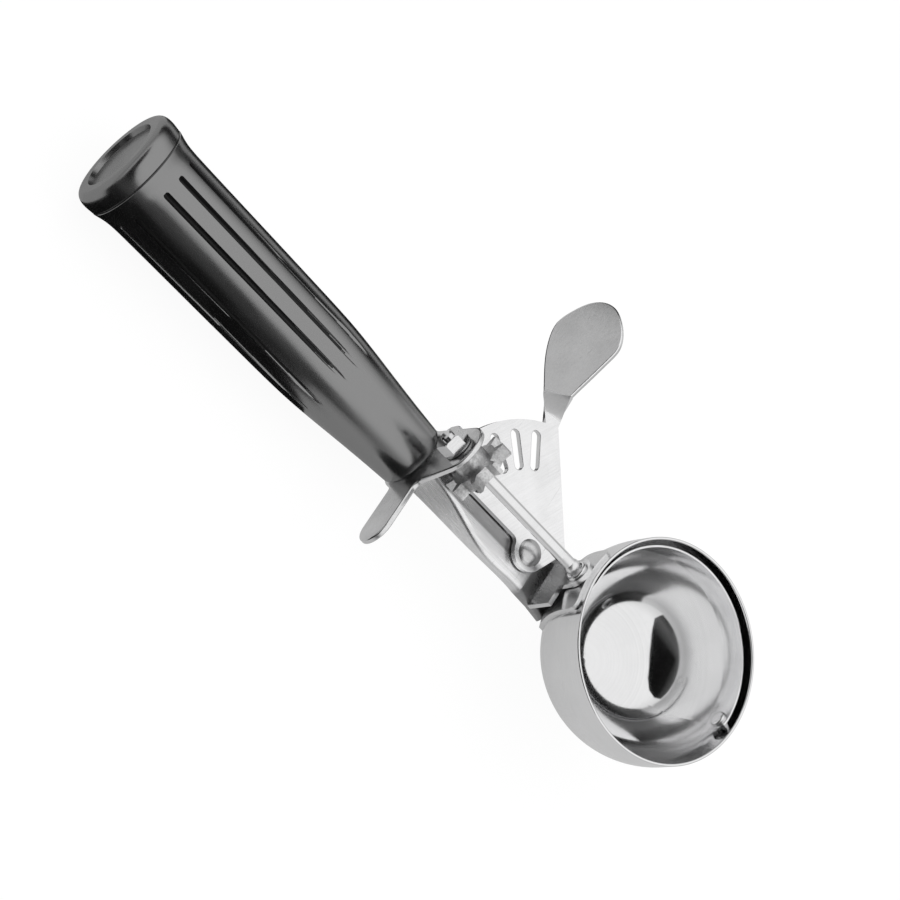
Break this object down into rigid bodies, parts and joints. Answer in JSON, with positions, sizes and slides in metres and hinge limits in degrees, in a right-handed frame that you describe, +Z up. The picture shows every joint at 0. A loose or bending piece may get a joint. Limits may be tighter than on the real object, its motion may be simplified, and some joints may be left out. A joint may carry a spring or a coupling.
{
  "type": "lever ice cream scoop",
  "caption": "Hand scoop with a half-ball bowl on a folded shank, a fluted grip, and a thumb lever whose slotted sector turns a scraper blade in the bowl through a pinion.",
  "frame": {"origin": "centre of the bowl's hemisphere, on the scraper shaft's axis", "axes": "+Z is up out of the bowl's mouth, -X runs along the shaft to the handle, +Y is the side of the thumb lever"},
  "size_m": [0.2186, 0.0943, 0.0439],
  "materials": {
    "polished_steel": "polished stainless steel",
    "plain_steel": "plain stainless steel",
    "black_plastic": "black moulded plastic with a soft sheen"
  },
  "bodies": {
    "frame": {"bowl": "polished_steel", "bowl_saddle": "polished_steel", "bearing_upright": "polished_steel", "shaft_sleeve": "polished_steel", "shank": "polished_steel", "guard_plate": "polished_steel", "handle_tang": "plain_steel", "handle_grip": "black_plastic", "handle_end_cap": "black_plastic", "blade_tip_rivet": "polished_steel", "lever_rivet": "polished_steel", "lever_spacer": "plain_steel", "return_spring": "plain_steel"},
    "lever": {"sector_lever": "polished_steel"},
    "scraper": {"scraper_shaft": "polished_steel", "shaft_nut": "polished_steel", "nut_washer": "polished_steel", "pinion": "polished_steel", "scraper_blade": "polished_steel"}
  },
  "joints": [
    {"name": "lever_pivot", "type": "hinge", "parent": "frame", "child": "lever", "pos_m": [-0.0425, -0.0018, -0.0082], "axis": [0, 0, 1], "range_deg": [0, 44], "stiffness_Nm_per_rad": 0.25, "springref_deg": -22.92, "deforming": ["return_spring"]},
    {"name": "scraper_turn", "type": "hinge", "parent": "frame", "child": "scraper", "pos_m": [-0.035, 0, 0], "axis": [1, 0, 0], "range_deg": [-155.4, 0]}
  ],
  "couplings": [
    {"joint": "scraper_turn", "follows": "lever_pivot", "ratio": -3.5305}
  ]
}
